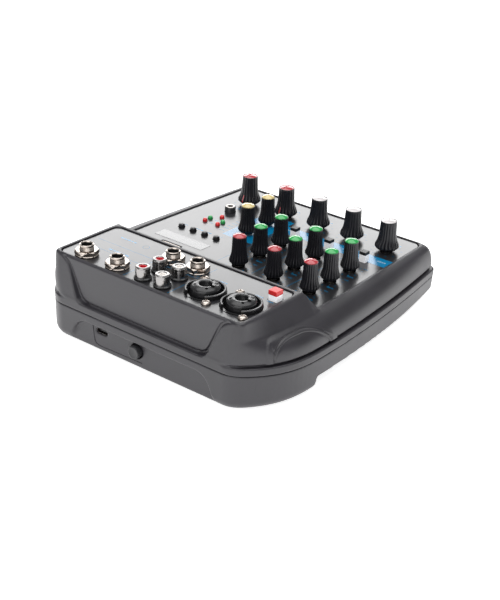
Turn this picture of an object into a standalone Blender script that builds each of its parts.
"""A small four-channel mixing console with a sloping control panel and a raised connector panel.

World frame: metres, +Z up, +X to the user's right, +Y to the back. The console stands on four
rubber feet on the plane z = 0. The housing, both panels and everything fastened to them lie in
the panel frame, which leans towards the user. In that frame z = 0 is the control panel's surface.
"""
import math

import bmesh
import bpy
from mathutils import Matrix, Vector

MM = 0.001

# Driving sizes
TILT = math.radians(3.5)
PANEL_HEIGHT = 37.2 * MM          # control panel surface above the ground, at the frame's origin
FRAME_Y = -1.59 * MM              # sets the frame so that the whole console is centred on y = 0
HALF_WIDTH = 88.5 * MM            # widest half width, at the seam
REAR = 94.0 * MM
FRONT = -94.4 * MM
STEP = 10.8 * MM                  # connector panel above the control panel
RIM = 0.8 * MM                    # housing rim above each panel
SEAM = -19.3 * MM
BAND = 4.8 * MM                   # height of the vertical band above the seam
LEDGE = 1.5 * MM                  # how far the band stands proud of the side above it
WALL = 2.2 * MM
DECK = 2.0 * MM                   # moulded deck under each panel
PANEL = 1.2 * MM                  # panel sheet
GAP = 0.3 * MM                    # clearance between neighbours

# Plan of the upper housing
TOP_HALF = 69.6 * MM
TOP_REAR = 90.9 * MM
TOP_FRONT = 38.7 * MM
STEP_FOOT = 36.8 * MM             # foot of the raised section's front face
DECK_HALF = 77.4 * MM
DECK_FRONT = -88.5 * MM
REAR_REACH = 7.0 * MM             # length of the rounding on each side of the rear corner
CORNER_DRIFT = 5.4 * MM           # how far the rear corner moves in from the top to the seam
BOW_START = 38.0 * MM             # behind this line the sides curve in to the rear corner
FRONT_RADIUS = 5.0 * MM

# Plan of the panels
CONTROL_HALF = 72.4 * MM
CONTROL_REAR = 35.2 * MM
CONTROL_FRONT = -86.2 * MM
CONNECTOR_HALF = 66.5 * MM
CONNECTOR_REAR = 88.5 * MM
CONNECTOR_FRONT = 41.0 * MM

# Lower housing
FLOOR_CLEARANCE = 1.0 * MM        # housing above the ground at the rear box
FRONT_UNDERSIDE = -30.6 * MM
BOX_FRONT_TOP = 41.5 * MM
BOX_FRONT_BOTTOM = 45.0 * MM
BOTTOM_INSET = 5.5 * MM
REAR_INNER = 88.0 * MM

# Controls
COLUMN = 25.7 * MM
COLUMN_A = -57.3 * MM
COLUMN_E = 49.5 * MM
ROW = 19.95 * MM
ROW_1 = 14.8 * MM
SHAFT_RADIUS = 2.9 * MM
SHAFT_END = -10.0 * MM
SHAFT_HOLE = 3.9 * MM
BUTTON_ROW = -42.0 * MM
BUTTON_SHIFT = 1.4 * MM           # the buttons stand a little to the right of their column
PLAYER_ROW = -5.5 * MM
PLAYER_FIRST = 28.3 * MM
PLAYER_PITCH = 9.33 * MM

# Connectors
JACKS = {
    "main_out_jack_left": (27.5 * MM, 81.7 * MM),
    "main_out_jack_right": (51.5 * MM, 81.7 * MM),
    "line_in_jack_3": (-8.6 * MM, 54.9 * MM),
    "line_in_jack_4": (9.8 * MM, 54.9 * MM),
}
RCA_CENTRE = (-0.4 * MM, 76.2 * MM)
RCA_PITCH = (14.4 * MM, 13.8 * MM)
COMBOS = {"combo_socket_1": (-54.0 * MM, 72.0 * MM), "combo_socket_2": (-28.9 * MM, 72.0 * MM)}
COMBO_RADIUS = 11.6 * MM
COMBO_SCREW = (9.9 * MM, 11.2 * MM)
PHANTOM = (-62.3 * MM, 53.2 * MM)
PHONES = (50.3 * MM, -45.7 * MM)
USB = (43.3 * MM, 21.0 * MM)
WINDOW = (42.4 * MM, 9.35 * MM)
WINDOW_SIZE = (35.6 * MM, 7.9 * MM)
LEDS = [(52.0, -22.9), (52.0, -28.0), (41.7, -22.9), (41.7, -28.0), (47.2, -33.8)]
LED_RADIUS = 1.5 * MM

# Boards
MAIN_BOARD_TOP = -13.0 * MM
BOARD = 1.6 * MM
CONNECTOR_BOARD_TOP = -15.0 * MM
POT_TOP = -6.3 * MM
POWER_X = 3.7 * MM
POWER_Z = -30.3 * MM
POWER_USB_X = 30.8 * MM
POWER_USB_Z = -28.0 * MM
POWER_BOARD_Y = 80.0 * MM


# ---------------------------------------------------------------- scene and helpers

def clear_scene():
    for thing in list(bpy.data.objects):
        bpy.data.objects.remove(thing, do_unlink=True)


def collection(name):
    group = bpy.data.collections.new(name)
    bpy.context.scene.collection.children.link(group)
    return group


clear_scene()
PARTS = collection("mixing_console")
CUTTERS = collection("cutters")


def empty(name, location, rotation_x=0.0):
    pivot = bpy.data.objects.new(name, None)
    pivot.location = location
    pivot.rotation_euler = (rotation_x, 0.0, 0.0)
    pivot.empty_display_size = 10 * MM
    PARTS.objects.link(pivot)
    return pivot


PANEL_FRAME = empty("panel_frame", (0.0, FRAME_Y, PANEL_HEIGHT), TILT)


def material(name, colour, roughness, metallic=0.0):
    shader = bpy.data.materials.new(name)
    shader.use_nodes = True
    principled = shader.node_tree.nodes["Principled BSDF"]
    principled.inputs["Base Color"].default_value = (*colour, 1.0)
    principled.inputs["Roughness"].default_value = roughness
    principled.inputs["Metallic"].default_value = metallic
    return shader


HOUSING = material("housing_plastic", (0.035, 0.034, 0.037), 0.45)
FACEPLATE = material("printed_faceplate", (0.012, 0.012, 0.014), 0.22)
KNOB = material("knob_plastic", (0.02, 0.02, 0.022), 0.40)
BLACK = material("socket_plastic", (0.012, 0.012, 0.013), 0.35)
WHITE = material("button_white", (0.80, 0.80, 0.80), 0.40)
RED = material("button_red", (0.70, 0.03, 0.03), 0.35)
NICKEL = material("nickel", (0.66, 0.62, 0.58), 0.22, 1.0)
RUBBER = material("rubber", (0.02, 0.02, 0.02), 0.85)
CIRCUIT = material("circuit_board", (0.02, 0.16, 0.06), 0.50)
WINDOW_GLASS = material("window", (0.01, 0.01, 0.012), 0.08)
LENS = material("led_lens", (0.60, 0.04, 0.03), 0.20)


def mesh_object(name, bm, shader, location=(0.0, 0.0, 0.0), parent=PANEL_FRAME, smooth=True):
    """Turn a bmesh into a named part of the console."""
    bmesh.ops.recalc_face_normals(bm, faces=bm.faces)
    mesh = bpy.data.meshes.new(name)
    bm.to_mesh(mesh)
    bm.free()
    part = bpy.data.objects.new(name, mesh)
    part.location = location
    part.parent = parent
    if shader is None:
        CUTTERS.objects.link(part)
        part.hide_render = True
        part.display_type = "WIRE"
        return part
    mesh.materials.append(shader)
    if smooth:
        mesh.shade_smooth()
        mesh.set_sharp_from_angle(angle=math.radians(35))
    PARTS.objects.link(part)
    return part


def add_box(bm, low, high):
    """Add a box between two corners."""
    low, high = Vector(low), Vector(high)
    size = high - low
    place = Matrix.Translation((low + high) / 2) @ Matrix.Diagonal((*size, 1.0))
    bmesh.ops.create_cube(bm, size=1.0, matrix=place)


def add_cylinder(bm, centre, radius, low, high, sides=12, turn=0.0, axis="Z"):
    """Add a cylinder whose ends lie at low and high along its axis through the centre."""
    middle = (low + high) / 2
    if axis == "Z":
        place = Matrix.Translation((centre[0], centre[1], middle)) @ Matrix.Rotation(turn, 4, "Z")
    else:
        lie_down = Matrix.Rotation(math.radians(90), 4, "X")
        place = Matrix.Translation((centre[0], middle, centre[1])) @ lie_down
    bmesh.ops.create_cone(bm, cap_ends=True, segments=sides, radius1=radius, radius2=radius,
                          depth=high - low, matrix=place)


def add_prism(bm, points, low, high):
    """Add a straight prism on a plan outline."""
    base = bm.faces.new([bm.verts.new((x, y, low)) for x, y in points])
    grown = bmesh.ops.extrude_face_region(bm, geom=[base])
    top = [v for v in grown["geom"] if isinstance(v, bmesh.types.BMVert)]
    bmesh.ops.translate(bm, verts=top, vec=(0.0, 0.0, high - low))


def add_loft(bm, loops):
    """Skin a stack of closed loops, each with the same number of points, and cap both ends."""
    rings = [[bm.verts.new(point) for point in loop] for loop in loops]
    for lower, upper in zip(rings, rings[1:]):
        for i in range(len(lower)):
            j = (i + 1) % len(lower)
            bm.faces.new((lower[i], lower[j], upper[j], upper[i]))
    bm.faces.new(rings[0])
    bm.faces.new(list(reversed(rings[-1])))


def turned(name, profile, shader, location, steps=12, parent=PANEL_FRAME):
    """Turn a profile of (radius, height) points, listed top to bottom, about the Z axis."""
    mesh = bpy.data.meshes.new(name)
    points = [(r, 0.0, z) for r, z in profile]
    mesh.from_pydata(points, [(i, i + 1) for i in range(len(points) - 1)], [])
    part = bpy.data.objects.new(name, mesh)
    part.location = location
    part.parent = parent
    PARTS.objects.link(part)
    mesh.materials.append(shader)
    screw = part.modifiers.new("turn", "SCREW")
    screw.steps = screw.render_steps = steps
    screw.use_merge_vertices = True
    screw.merge_threshold = 0.00001
    screw.use_smooth_shade = True
    return part


def boolean(part, tool, operation="DIFFERENCE"):
    change = part.modifiers.new(tool.name, "BOOLEAN")
    change.operation = operation
    change.object = tool
    change.solver = "EXACT"


def rounded_rectangle(half_x, low_y, high_y, radius, steps=5):
    """Plan points of a rectangle with round corners, centred on x = 0."""
    corners = [(half_x - radius, high_y - radius, 0), (-half_x + radius, high_y - radius, 90),
               (-half_x + radius, low_y + radius, 180), (half_x - radius, low_y + radius, 270)]
    points = []
    for x, y, start in corners:
        for i in range(steps + 1):
            angle = math.radians(start + 90 * i / steps)
            points.append((x + radius * math.cos(angle), y + radius * math.sin(angle)))
    return points


# ---------------------------------------------------------------- housing outline

def ramp(distance, ease):
    """Zero, then a parabola of half length ease, then a straight line of slope one."""
    if distance <= -ease:
        return 0.0
    if distance >= ease:
        return distance
    return (distance + ease) ** 2 / (4 * ease)


def band_half(y):
    """Half width at the seam: widest near the middle of the box, with a slow curve to the front."""
    return HALF_WIDTH - 0.001418 * MM * (max(42 * MM - y, 0.0) / MM) ** 1.845


def deck_half(y):
    return DECK_HALF - 0.045 * ramp(16 * MM - y, 16 * MM)


def control_half(y):
    return CONTROL_HALF - 0.046 * ramp(5 * MM - y, 20 * MM)


def plan(half_at, rear, front, rear_radius, front_radius):
    """A closed plan outline, symmetric about x = 0, whose half width varies from front to rear."""
    corner_steps, side_steps = 7, 7
    half = []
    for i in range(corner_steps + 1):
        angle = math.radians(90 * (1 - i / corner_steps))
        y = rear - rear_radius * (1 - math.sin(angle))
        half.append((half_at(y) - rear_radius * (1 - math.cos(angle)), y))
    start, end = rear - rear_radius, front + front_radius
    for i in range(1, side_steps):
        y = start + (end - start) * i / side_steps
        half.append((half_at(y), y))
    for i in range(corner_steps + 1):
        angle = math.radians(90 * i / corner_steps)
        y = front + front_radius * (1 - math.sin(angle))
        half.append((half_at(y) - front_radius * (1 - math.cos(angle)), y))
    return half + [(-x, y) for x, y in reversed(half)]


def bowed_plan(half_at, rear, front, bow, reach, front_radius):
    """A closed plan outline whose sides curve in by bow towards the rear corners."""
    corner_steps, side_steps = 6, 10

    def side(y):
        return half_at(y) - bow * (max(y - BOW_START, 0.0) / (REAR - BOW_START)) ** 2.7

    half = []
    start, end = rear - reach * 0.8, front + front_radius
    for i in range(corner_steps + 1):
        t = i / corner_steps
        before, corner, after = (1 - t) ** 2, 2 * t * (1 - t), t * t
        half.append((before * (side(rear) - reach) + corner * side(rear) + after * side(start),
                     (before + corner) * rear + after * start))
    for i in range(1, side_steps):
        y = start + (end - start) * (i / side_steps) ** 1.4
        half.append((side(y), y))
    for i in range(corner_steps + 1):
        angle = math.radians(90 * i / corner_steps)
        y = front + front_radius * (1 - math.sin(angle))
        half.append((side(y) - front_radius * (1 - math.cos(angle)), y))
    return half + [(-x, y) for x, y in reversed(half)]


def hull_plan(z, inset=0.0, rear=None, front=None):
    """Plan of the upper housing at height z, drawn in by inset."""
    ledge_z = SEAM + BAND
    below = min(max((RIM - z) / (RIM - ledge_z), 0.0), 1.0)
    roll = 1 - (1 - below) ** 3
    above = max((z - RIM) / STEP, 0.0)
    depth = min((STEP + RIM - z) / (STEP + RIM - ledge_z), 1.0)

    def half_at(y):
        deck = deck_half(y)
        width = deck + (band_half(y) - LEDGE - deck) * roll + (TOP_HALF - deck) * above
        return width - inset

    bow = half_at(REAR) + inset - (TOP_HALF - CORNER_DRIFT * depth) + 0.72 * inset * depth
    rear_y = TOP_REAR + (REAR - LEDGE / 4 - TOP_REAR) * depth if rear is None else rear
    front_y = DECK_FRONT + (FRONT + LEDGE - DECK_FRONT) * roll if front is None else front
    return bowed_plan(half_at, rear_y - (inset if rear is None else 0.0),
                      front_y + (inset if front is None else 0.0), bow, REAR_REACH, FRONT_RADIUS)


def seam_plan(inset=0.0, rear=None):
    rear_y = REAR - inset if rear is None else rear
    bow = HALF_WIDTH - TOP_HALF + CORNER_DRIFT + 0.72 * inset
    return bowed_plan(lambda y: band_half(y) - inset, rear_y, FRONT + inset, bow,
                      REAR_REACH, FRONT_RADIUS)


def control_plan(grow=0.0):
    return plan(lambda y: control_half(y) + grow, CONTROL_REAR + grow, CONTROL_FRONT - grow,
                12 * MM, 5 * MM)


def connector_plan(grow=0.0):
    return rounded_rectangle(CONNECTOR_HALF + grow, CONNECTOR_FRONT - grow,
                             CONNECTOR_REAR + grow, 4 * MM)


def at_height(points, z):
    return [(x, y, z) for x, y in points]


def ground(y):
    """Height of the ground plane in the panel frame."""
    return -PANEL_HEIGHT / math.cos(TILT) - y * math.tan(TILT)


# ---------------------------------------------------------------- holes in panels and decks

def column(index):
    return COLUMN_E if index == 4 else COLUMN_A + COLUMN * index


def row(index):
    return ROW_1 - ROW * index + (0.8 * MM if index == 4 else 0.0)


def knob_places():
    """Name, column, row and size of every rotary control."""
    places = []
    for channel in range(3):
        for line, kind in enumerate(("gain", "treble", "bass")):
            places.append((f"{kind}_knob_ch{channel + 1}", column(channel), row(line), "small"))
        places.append((f"level_knob_ch{channel + 1}", column(channel), row(4), "large"))
    places.append(("echo_delay_knob", column(3), row(2), "small"))
    places.append(("echo_repeat_knob", column(3), row(3), "small"))
    places.append(("phones_level_knob", column(3), row(4), "large"))
    places.append(("main_level_knob", column(4), row(4), "large"))
    return places


def rca_places():
    places = []
    for side, sign_x in (("left", -1), ("right", 1)):
        for line, sign_y in (("rear", 1), ("front", -1)):
            spot = (RCA_CENTRE[0] + sign_x * RCA_PITCH[0] / 2,
                    RCA_CENTRE[1] + sign_y * RCA_PITCH[1] / 2)
            places.append((side, line, spot))
    return places


def control_holes():
    bm = bmesh.new()
    low, high = -12 * MM, 2 * MM
    for _, x, y, _ in knob_places():
        add_cylinder(bm, (x, y), SHAFT_HOLE, low, high, 10)
    for channel in range(3):
        reach = 2.2 * MM
        spot = column(channel) + BUTTON_SHIFT
        add_box(bm, (spot - reach, BUTTON_ROW - reach, low), (spot + reach, BUTTON_ROW + reach, high))
    for i in range(4):
        add_cylinder(bm, (PLAYER_FIRST + PLAYER_PITCH * i, PLAYER_ROW), 2.3 * MM, low, high, 10)
    for x, y in LEDS:
        add_cylinder(bm, (x * MM, y * MM), LED_RADIUS + GAP, low, high, 10)
    add_cylinder(bm, PHONES, 3.9 * MM, low, high, 12)
    add_box(bm, (USB[0] - 6.8 * MM, USB[1] - 3.1 * MM, low), (USB[0] + 6.8 * MM, USB[1] + 3.1 * MM, high))
    return mesh_object("control_holes", bm, None)


def deck_opening():
    """The low deck is open under the control panel and carries it on a shelf all round."""
    bm = bmesh.new()
    shelf = rounded_rectangle(CONTROL_HALF - 9.4 * MM, CONTROL_FRONT + 7 * MM, CONTROL_REAR - 7 * MM, 6 * MM, 3)
    add_prism(bm, shelf, -12 * MM, 2 * MM)
    return mesh_object("deck_opening", bm, None)


def connector_holes():
    bm = bmesh.new()
    low, high = STEP - 8 * MM, STEP + 3 * MM
    for spot in JACKS.values():
        add_cylinder(bm, spot, 4.7 * MM, low, high, 12)
    for _, _, spot in rca_places():
        add_cylinder(bm, spot, 4.7 * MM, low, high, 12)
    for x, y in COMBOS.values():
        add_cylinder(bm, (x, y), COMBO_RADIUS + GAP, low, high, 24)
        for sign in (1, -1):
            add_cylinder(bm, (x + sign * COMBO_SCREW[0], y - sign * COMBO_SCREW[1]), 1.7 * MM, low, high, 8)
    reach = 3.3 * MM
    add_box(bm, (PHANTOM[0] - reach, PHANTOM[1] - reach, low), (PHANTOM[0] + reach, PHANTOM[1] + reach, high))
    return mesh_object("connector_holes", bm, None)


CONTROL_HOLES = control_holes()
CONNECTOR_HOLES = connector_holes()


# ---------------------------------------------------------------- housing

def prism_along_x(name, points, low, high):
    """A prism on a (y, z) side outline, reaching from low to high in x."""
    bm = bmesh.new()
    add_loft(bm, [[(low, y, z) for y, z in points], [(high, y, z) for y, z in points]])
    return mesh_object(name, bm, None)


def prism_along_y(name, points, low, high):
    """A prism on an (x, z) rear outline, reaching from low to high in y."""
    bm = bmesh.new()
    add_loft(bm, [[(x, low, z) for x, z in points], [(x, high, z) for x, z in points]])
    return mesh_object(name, bm, None)


def rear_field(top_z, top_half, bottom_z, bottom_half, steps=4):
    """A trapezoid with S-shaped ends, as (x, z) points."""
    side = []
    for i in range(steps + 1):
        t = i / steps
        swing = (1 - math.cos(math.pi * t)) / 2
        side.append((top_half + (bottom_half - top_half) * swing, top_z + (bottom_z - top_z) * t))
    return side + [(-x, z) for x, z in reversed(side)]


def top_shell():
    ledge_z = SEAM + BAND
    top = STEP + RIM
    heights = [ledge_z, -10 * MM, -6 * MM, -2.5 * MM, RIM, STEP / 2, STEP - 0.6 * MM, top]
    loops = [at_height(seam_plan(), SEAM + GAP / 2), at_height(seam_plan(), ledge_z)]
    loops += [at_height(hull_plan(z), z + (0.05 * MM if z == ledge_z else 0.0)) for z in heights[:-1]]
    loops.append(at_height(hull_plan(top, inset=0.6 * MM), top))
    bm = bmesh.new()
    add_loft(bm, loops)
    shell = mesh_object("top_shell", bm, HOUSING)

    bm = bmesh.new()
    lower = rounded_rectangle(DECK_HALF + 0.3 * MM, -130 * MM, STEP_FOOT, 14 * MM)
    upper = rounded_rectangle(DECK_HALF + 0.3 * MM, -130 * MM, TOP_FRONT, 14 * MM)
    add_loft(bm, [at_height(lower, RIM), at_height(upper, top + 1 * MM)])
    boolean(shell, mesh_object("step_cutter", bm, None))

    bm = bmesh.new()
    add_prism(bm, control_plan(GAP), -PANEL - GAP, RIM + 5 * MM)
    boolean(shell, mesh_object("control_recess", bm, None))
    bm = bmesh.new()
    add_prism(bm, connector_plan(GAP), STEP - PANEL - GAP, STEP + 5 * MM)
    boolean(shell, mesh_object("connector_recess", bm, None))

    field = rear_field(top + 1 * MM, 62 * MM, -13.6 * MM, 44 * MM)
    boolean(shell, prism_along_y("rear_recess", field, TOP_REAR + 0.3 * MM, REAR + 10 * MM))

    ceiling = -PANEL - GAP - DECK
    bm = bmesh.new()
    add_loft(bm, [at_height(seam_plan(WALL), SEAM - 3 * MM), at_height(seam_plan(WALL), -16 * MM),
                  at_height(hull_plan(-13 * MM, WALL, rear=REAR_INNER + 0.7 * MM), -13 * MM),
                  at_height(hull_plan(ceiling, WALL, rear=REAR_INNER + 0.7 * MM), ceiling)])
    boolean(shell, mesh_object("low_hollow", bm, None))
    ceiling = STEP - PANEL - GAP - DECK
    bm = bmesh.new()
    heights = [-6 * MM, RIM, ceiling]
    add_loft(bm, [at_height(hull_plan(z, WALL + 0.2 * MM, rear=REAR_INNER + 0.6 * MM,
                                      front=TOP_FRONT + 2.2 * MM), z) for z in heights])
    boolean(shell, mesh_object("high_hollow", bm, None))
    boolean(shell, deck_opening())
    boolean(shell, CONNECTOR_HOLES)
    return shell


def lower_loops(inset, drop, top_z, rear=None):
    """Loops of the lower housing from the seam down to a floor that is level with the ground."""
    levels = [(0.0, 0.0), (0.45, 0.02), (0.75, 0.07), (0.87, 0.19), (0.95, 0.42), (0.985, 0.7), (1.0, 1.0)]
    loops = []
    for depth, pull in levels:
        shape = seam_plan(inset + BOTTOM_INSET * pull, rear)
        loop = []
        for x, y in shape:
            floor = ground(y) + FLOOR_CLEARANCE + drop
            loop.append((x, y, top_z + (floor - top_z) * depth))
        loops.append(loop)
    return loops


def underside_cutter(name, lift):
    """Everything below the shallow front part's underside, ahead of the deep rear box."""
    return [(-130 * MM, FRONT_UNDERSIDE + lift), (BOX_FRONT_TOP + lift, FRONT_UNDERSIDE + lift),
            (BOX_FRONT_BOTTOM + lift, -46 * MM), (-130 * MM, -60 * MM)], name


def bottom_shell():
    bm = bmesh.new()
    add_loft(bm, lower_loops(0.0, 0.0, SEAM - GAP / 2))
    shell = mesh_object("bottom_shell", bm, HOUSING)
    points, name = underside_cutter("front_underside", 0.0)
    boolean(shell, prism_along_x(name, points, -120 * MM, 120 * MM))

    bm = bmesh.new()
    add_loft(bm, lower_loops(WALL, 2 * MM, SEAM + 4 * MM, rear=REAR_INNER))
    hollow = mesh_object("lower_hollow", bm, None)
    points, name = underside_cutter("front_floor", 2 * MM)
    boolean(hollow, prism_along_x(name, points, -120 * MM, 120 * MM))
    boolean(shell, hollow)

    field = rear_field(-24.9 * MM, 43 * MM, -44 * MM, 55 * MM)
    boolean(shell, prism_along_y("rear_field", field, 91.4 * MM, 110 * MM))
    bm = bmesh.new()
    add_box(bm, (-1 * MM, 90.6 * MM, -37.2 * MM), (38 * MM, 100 * MM, -25.8 * MM))
    add_box(bm, (POWER_USB_X - 4.9 * MM, 80 * MM, POWER_USB_Z - 2.0 * MM),
            (POWER_USB_X + 4.9 * MM, 100 * MM, POWER_USB_Z + 2.0 * MM))
    boolean(shell, mesh_object("inlay_cutter", bm, None))
    bm = bmesh.new()
    add_cylinder(bm, (POWER_X, POWER_Z), 4.4 * MM, 80 * MM, 100 * MM, 16, axis="Y")
    boolean(shell, mesh_object("power_hole", bm, None))
    boolean(shell, foot_pockets())
    return shell


# ---------------------------------------------------------------- feet

FEET = {"foot_front_left": (-66 * MM, -73 * MM, 2.6), "foot_front_right": (66 * MM, -73 * MM, 2.6),
        "foot_rear_left": (-60 * MM, 72 * MM, 1.6), "foot_rear_right": (60 * MM, 72 * MM, 1.6)}
FOOT_RADIUS = 5.5 * MM


def foot_pockets():
    bm = bmesh.new()
    for x, y, height in FEET.values():
        add_cylinder(bm, (x, y), FOOT_RADIUS + GAP, -3 * MM, height * MM + GAP, 16)
    return mesh_object("foot_pockets", bm, None, parent=None)


def feet():
    for name, (x, y, height) in FEET.items():
        bm = bmesh.new()
        add_cylinder(bm, (0.0, 0.0), FOOT_RADIUS, 0.0, height * MM, 16)
        mesh_object(name, bm, RUBBER, (x, y, 0.0), parent=None)


# ---------------------------------------------------------------- panels

def control_panel():
    bm = bmesh.new()
    add_prism(bm, control_plan(), -PANEL, 0.0)
    panel = mesh_object("control_panel", bm, FACEPLATE)
    boolean(panel, CONTROL_HOLES)
    bm = bmesh.new()
    reach_x, reach_y = WINDOW_SIZE[0] / 2 + GAP, WINDOW_SIZE[1] / 2 + GAP
    add_box(bm, (WINDOW[0] - reach_x, WINDOW[1] - reach_y, -3 * MM),
            (WINDOW[0] + reach_x, WINDOW[1] + reach_y, 3 * MM))
    boolean(panel, mesh_object("window_cutter", bm, None))


def connector_panel():
    bm = bmesh.new()
    add_prism(bm, connector_plan(), STEP - PANEL, STEP)
    panel = mesh_object("connector_panel", bm, FACEPLATE)
    boolean(panel, CONNECTOR_HOLES)


def display():
    bm = bmesh.new()
    half_x, half_y = WINDOW_SIZE[0] / 2, WINDOW_SIZE[1] / 2
    add_box(bm, (-half_x, -half_y, -PANEL), (half_x, half_y, 0.1 * MM))
    mesh_object("display_window", bm, WINDOW_GLASS, (*WINDOW, 0.0))
    bm = bmesh.new()
    add_box(bm, (-half_x - 2 * MM, -half_y - 0.8 * MM, -7.6 * MM), (half_x + 2 * MM, half_y + 0.8 * MM, -3.9 * MM))
    mesh_object("display_module", bm, BLACK, (*WINDOW, 0.0))


def led_cluster():
    """Five lenses on one carrier under the deck."""
    bm = bmesh.new()
    add_box(bm, (38.2 * MM, -37.2 * MM, -5.6 * MM), (55.6 * MM, -19.4 * MM, -3.9 * MM))
    cluster = mesh_object("led_cluster", bm, LENS)
    bm = bmesh.new()
    for x, y in LEDS:
        add_cylinder(bm, (x * MM, y * MM), LED_RADIUS, -5 * MM, 1.2 * MM, 10)
        dome = Matrix.Translation((x * MM, y * MM, 1.7 * MM))
        bmesh.ops.create_cone(bm, cap_ends=True, segments=10, radius1=LED_RADIUS,
                              radius2=0.7 * MM, depth=1.0 * MM, matrix=dome)
    bmesh.ops.remove_doubles(bm, verts=bm.verts, dist=0.00001)
    drop_inner_faces(bm, 1.2 * MM)
    boolean(cluster, mesh_object("led_lenses", bm, None), "UNION")


def drop_inner_faces(bm, z):
    """Remove the doubled faces where two stacked solids met at height z."""
    inner = [f for f in bm.faces if all(abs(v.co.z - z) < 0.00001 for v in f.verts)]
    bmesh.ops.delete(bm, geom=inner, context="FACES_ONLY")


# ---------------------------------------------------------------- moving controls

def knob_profile(size):
    """Outer side of a knob and its shaft, top to bottom."""
    if size == "small":
        top, rim, waist, skirt, foot = 19.6, 4.05, 4.5, 5.8, 1.9
    else:
        top, rim, waist, skirt, foot = 19.4, 4.95, 5.4, 7.45, 2.5
    outline = [(0.0, top), (rim * 0.8, top - 0.1), (rim, top - 1.0), (waist, top * 0.45),
               (skirt - 0.5, foot + 2.2), (skirt, foot), (skirt - 1.4, 1.2)]
    return [(r * MM, z * MM) for r, z in outline] + [(SHAFT_RADIUS, 1.2 * MM), (SHAFT_RADIUS, SHAFT_END),
                                                    (0.0, SHAFT_END)]


def knobs():
    for name, x, y, size in knob_places():
        turned(name, knob_profile(size), KNOB, (x, y, 0.0), 12)


def square_button(name, spot, z, cap, cap_low, cap_high, stem, stem_low, shader):
    """A push button: a square cap on a square stem, centred on its own axis."""
    bm = bmesh.new()
    add_box(bm, (-cap, -cap, cap_low), (cap, cap, cap_high))
    button = mesh_object(name, bm, shader, (*spot, z))
    bm = bmesh.new()
    add_box(bm, (-stem, -stem, stem_low), (stem, stem, cap_low + 0.2 * MM))
    boolean(button, mesh_object(name + "_stem", bm, None, (*spot, z)), "UNION")


def channel_buttons():
    for channel in range(3):
        square_button(f"effect_button_ch{channel + 1}", (column(channel) + BUTTON_SHIFT, BUTTON_ROW), 0.0,
                      2.3 * MM, 4.3 * MM, 6.5 * MM, 1.75 * MM, -9.5 * MM, BLACK)
    square_button("phantom_button", PHANTOM, STEP, 2.9 * MM, 2.9 * MM, 5.8 * MM,
                  2.7 * MM, -22.0 * MM, RED)


def player_buttons():
    """Four small lobed push buttons beside the display."""
    for i in range(4):
        bm = bmesh.new()
        lobes = 24
        points = []
        for k in range(lobes):
            angle = 2 * math.pi * k / lobes
            radius = (1.75 + 0.2 * math.cos(4 * angle)) * MM
            points.append((radius * math.cos(angle), radius * math.sin(angle)))
        add_prism(bm, points, -8.0 * MM, 2.1 * MM)
        mesh_object(f"player_button_{i + 1}", bm, BLACK,
                    (PLAYER_FIRST + PLAYER_PITCH * i, PLAYER_ROW, 0.0))


def power_button():
    bm = bmesh.new()
    add_cylinder(bm, (0.0, 0.0), 4.0 * MM, 89.0 * MM, 94.6 * MM, 16, axis="Y")
    button = mesh_object("power_button", bm, BLACK, (POWER_X, 0.0, POWER_Z))
    bm = bmesh.new()
    add_cylinder(bm, (0.0, 0.0), 1.5 * MM, 85.0 * MM, 89.5 * MM, 8, axis="Y")
    boolean(button, mesh_object("power_plunger", bm, None, (POWER_X, 0.0, POWER_Z)), "UNION")


# ---------------------------------------------------------------- sockets

def ring_profile(points):
    """Close a profile that doesn't touch the axis."""
    return [(r * MM, z * MM) for r, z in points + points[:1]]


def jacks():
    """Quarter-inch jack sockets, each with its nut."""
    deck_low = STEP - PANEL - GAP - DECK
    for name, spot in JACKS.items():
        bm = bmesh.new()
        add_cylinder(bm, (0.0, 0.0), 4.2 * MM, deck_low - 2 * MM, STEP + 6.9 * MM, 16)
        socket = mesh_object(name, bm, NICKEL, (*spot, 0.0))
        bm = bmesh.new()
        add_box(bm, (-6.2 * MM, -5.7 * MM, CONNECTOR_BOARD_TOP + GAP), (6.2 * MM, 5.7 * MM, deck_low - GAP))
        boolean(socket, mesh_object(name + "_body", bm, None, (*spot, 0.0)), "UNION")
        bm = bmesh.new()
        add_cylinder(bm, (0.0, 0.0), 3.3 * MM, -10 * MM, STEP + 10 * MM, 16)
        boolean(socket, mesh_object(name + "_bore", bm, None, (*spot, 0.0)))

        bm = bmesh.new()
        add_cylinder(bm, (0.0, 0.0), 7.0 * MM, STEP + GAP, STEP + 3.6 * MM, 6, math.radians(20))
        nut = mesh_object(name.replace("jack", "nut"), bm, NICKEL, (*spot, 0.0), smooth=False)
        bm = bmesh.new()
        add_cylinder(bm, (0.0, 0.0), 4.5 * MM, STEP - 2 * MM, STEP + 6 * MM, 16)
        boolean(nut, mesh_object(name + "_nut_bore", bm, None, (*spot, 0.0)))


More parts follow.
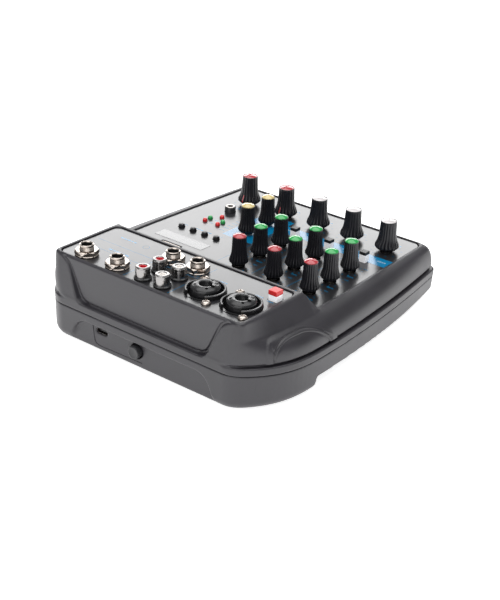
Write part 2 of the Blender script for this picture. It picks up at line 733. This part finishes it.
def rca_pairs():
    """Two blocks, each with a rear and a front phono socket."""
    deck_low = STEP - PANEL - GAP - DECK
    for side in ("left", "right"):
        spots = [spot for name, _, spot in rca_places() if name == side]
        middle = (spots[0][0], RCA_CENTRE[1])
        bm = bmesh.new()
        add_box(bm, (-5.4 * MM, -12.4 * MM, CONNECTOR_BOARD_TOP + GAP), (5.4 * MM, 11.9 * MM, deck_low - GAP))
        block = mesh_object(f"rca_pair_{side}", bm, NICKEL, (*middle, 0.0))
        bm = bmesh.new()
        for _, y in spots:
            add_cylinder(bm, (0.0, y - middle[1]), 4.05 * MM, deck_low - 2 * MM, STEP + 7.7 * MM, 16)
        boolean(block, mesh_object(f"rca_barrels_{side}", bm, None, (*middle, 0.0)), "UNION")
        bm = bmesh.new()
        for _, y in spots:
            add_cylinder(bm, (0.0, y - middle[1]), 1.7 * MM, STEP - 4 * MM, STEP + 12 * MM, 10)
        boolean(block, mesh_object(f"rca_bores_{side}", bm, None, (*middle, 0.0)))


def combo_sockets():
    """Sockets that take either a three-pin connector or a quarter-inch plug, and their screws."""
    for name, spot in COMBOS.items():
        bm = bmesh.new()
        add_cylinder(bm, (0.0, 0.0), COMBO_RADIUS, CONNECTOR_BOARD_TOP + GAP, STEP + 2.6 * MM, 24)
        socket = mesh_object(name, bm, BLACK, (*spot, 0.0))
        # The ring channel is open at the top, and the middle insert stands in it.
        channel = ring_profile([(10.2, 20.0), (10.2, 3.0), (8.3, 3.0), (8.3, 20.0)])
        cutter = turned(name + "_channel", channel, BLACK, (*spot, 0.0), 24)
        hide_as_cutter(cutter)
        boolean(socket, cutter)
        bm = bmesh.new()
        add_cylinder(bm, (0.0, 0.0), 8.0 * MM, STEP - 4 * MM, STEP + 4.7 * MM, 24)
        boolean(socket, mesh_object(name + "_insert", bm, None, (*spot, 0.0)), "UNION")
        bm = bmesh.new()
        add_cylinder(bm, (0.0, 0.0), 3.5 * MM, -8 * MM, STEP + 12 * MM, 16)
        boolean(socket, mesh_object(name + "_bore", bm, None, (*spot, 0.0)))
        for sign, place in ((1, "front"), (-1, "rear")):
            turned(f"{name}_screw_{place}", screw_profile(), NICKEL,
                   (spot[0] + sign * COMBO_SCREW[0], spot[1] - sign * COMBO_SCREW[1], STEP), 12)


def screw_profile():
    outline = [(0.0, 1.9), (1.6, 1.7), (2.4, 0.9), (2.4, 0.3), (1.35, 0.3), (1.35, -3.2), (0.0, -3.2)]
    return [(r * MM, z * MM) for r, z in outline]


def hide_as_cutter(part):
    PARTS.objects.unlink(part)
    CUTTERS.objects.link(part)
    part.hide_render = True
    part.display_type = "WIRE"


def phones_jack():
    bm = bmesh.new()
    add_cylinder(bm, (0.0, 0.0), 3.5 * MM, -6 * MM, 3.9 * MM, 16)
    socket = mesh_object("phones_jack", bm, BLACK, (*PHONES, 0.0))
    bm = bmesh.new()
    add_box(bm, (-5 * MM, -5 * MM, MAIN_BOARD_TOP + GAP), (5 * MM, 5 * MM, -3.9 * MM))
    boolean(socket, mesh_object("phones_body", bm, None, (*PHONES, 0.0)), "UNION")
    bm = bmesh.new()
    add_cylinder(bm, (0.0, 0.0), 1.85 * MM, -10 * MM, 8 * MM, 10)
    boolean(socket, mesh_object("phones_bore", bm, None, (*PHONES, 0.0)))


def usb_sockets():
    bm = bmesh.new()
    add_box(bm, (-7.2 * MM, -3.5 * MM, MAIN_BOARD_TOP + GAP), (7.2 * MM, 3.5 * MM, -PANEL - GAP))
    socket = mesh_object("usb_audio_socket", bm, NICKEL, (*USB, 0.0), smooth=False)
    bm = bmesh.new()
    add_box(bm, (-6.3 * MM, -2.6 * MM, -11.4 * MM), (6.3 * MM, 2.6 * MM, 4 * MM))
    boolean(socket, mesh_object("usb_mouth", bm, None, (*USB, 0.0)))

    spot = (POWER_USB_X, 0.0, POWER_USB_Z)
    back = POWER_BOARD_Y + BOARD + GAP
    bm = bmesh.new()
    add_box(bm, (-4.5 * MM, back, -1.65 * MM), (4.5 * MM, 90.4 * MM, 1.65 * MM))
    socket = mesh_object("usb_power_socket", bm, NICKEL, spot, smooth=False)
    bm = bmesh.new()
    add_box(bm, (-4.15 * MM, 84 * MM, -1.3 * MM), (4.15 * MM, 95 * MM, 1.3 * MM))
    boolean(socket, mesh_object("usb_power_mouth", bm, None, spot))


# ---------------------------------------------------------------- boards

def main_board():
    """Circuit board with its potentiometers, latching switches and tactile switches."""
    low = MAIN_BOARD_TOP - BOARD
    bm = bmesh.new()
    add_box(bm, (-66 * MM, -82 * MM, low), (66 * MM, 32 * MM, MAIN_BOARD_TOP))
    board = mesh_object("main_board", bm, CIRCUIT, smooth=False)
    bodies, bores = bmesh.new(), bmesh.new()
    sink = MAIN_BOARD_TOP - 0.3 * MM
    for _, x, y, _ in knob_places():
        add_box(bodies, (x - 4.8 * MM, y - 5.5 * MM, sink), (x + 4.8 * MM, y + 5.5 * MM, POT_TOP))
        add_cylinder(bores, (x, y), SHAFT_RADIUS + 0.4 * MM, SHAFT_END - 0.8 * MM, 0.0, 10)
    for channel in range(3):
        x = column(channel) + BUTTON_SHIFT
        add_box(bodies, (x - 3.6 * MM, BUTTON_ROW - 3.6 * MM, sink), (x + 3.6 * MM, BUTTON_ROW + 3.6 * MM, -5 * MM))
        add_box(bores, (x - 2.1 * MM, BUTTON_ROW - 2.1 * MM, -12.4 * MM),
                (x + 2.1 * MM, BUTTON_ROW + 2.1 * MM, 0.0))
    for i in range(4):
        x = PLAYER_FIRST + PLAYER_PITCH * i
        add_box(bodies, (x - 3.0 * MM, PLAYER_ROW - 3.0 * MM, sink), (x + 3.0 * MM, PLAYER_ROW + 3.0 * MM, -9 * MM))
    boolean(board, mesh_object("main_board_parts", bodies, None), "UNION")
    boolean(board, mesh_object("main_board_bores", bores, None))


def connector_board():
    low = CONNECTOR_BOARD_TOP - BOARD
    bm = bmesh.new()
    add_box(bm, (-67.5 * MM, 42 * MM, low), (64 * MM, 86.4 * MM, CONNECTOR_BOARD_TOP))
    board = mesh_object("connector_board", bm, CIRCUIT, smooth=False)
    x, y = PHANTOM
    bm = bmesh.new()
    add_box(bm, (x - 4.4 * MM, y - 4.4 * MM, CONNECTOR_BOARD_TOP - 0.3 * MM), (x + 4.4 * MM, y + 4.4 * MM, -6 * MM))
    boolean(board, mesh_object("phantom_switch", bm, None), "UNION")
    bm = bmesh.new()
    reach = 3.1 * MM
    add_box(bm, (x - reach, y - reach, -14.4 * MM), (x + reach, y + reach, 0.0))
    boolean(board, mesh_object("phantom_bore", bm, None))


def power_board():
    bm = bmesh.new()
    add_box(bm, (-8 * MM, POWER_BOARD_Y, -37 * MM), (40 * MM, POWER_BOARD_Y + BOARD, -21 * MM))
    board = mesh_object("power_board", bm, CIRCUIT, smooth=False)
    bm = bmesh.new()
    reach = 4.2 * MM
    add_box(bm, (POWER_X - reach, POWER_BOARD_Y + BOARD - 0.3 * MM, POWER_Z - reach),
            (POWER_X + reach, 85.8 * MM, POWER_Z + reach))
    boolean(board, mesh_object("power_switch", bm, None), "UNION")
    bm = bmesh.new()
    add_cylinder(bm, (POWER_X, POWER_Z), 2.0 * MM, 82.2 * MM, 90 * MM, 10, axis="Y")
    boolean(board, mesh_object("power_switch_bore", bm, None))


top_shell()
bottom_shell()
feet()
control_panel()
connector_panel()
display()
led_cluster()
knobs()
channel_buttons()
player_buttons()
power_button()
jacks()
rca_pairs()
combo_sockets()
phones_jack()
usb_sockets()
main_board()
connector_board()
power_board()
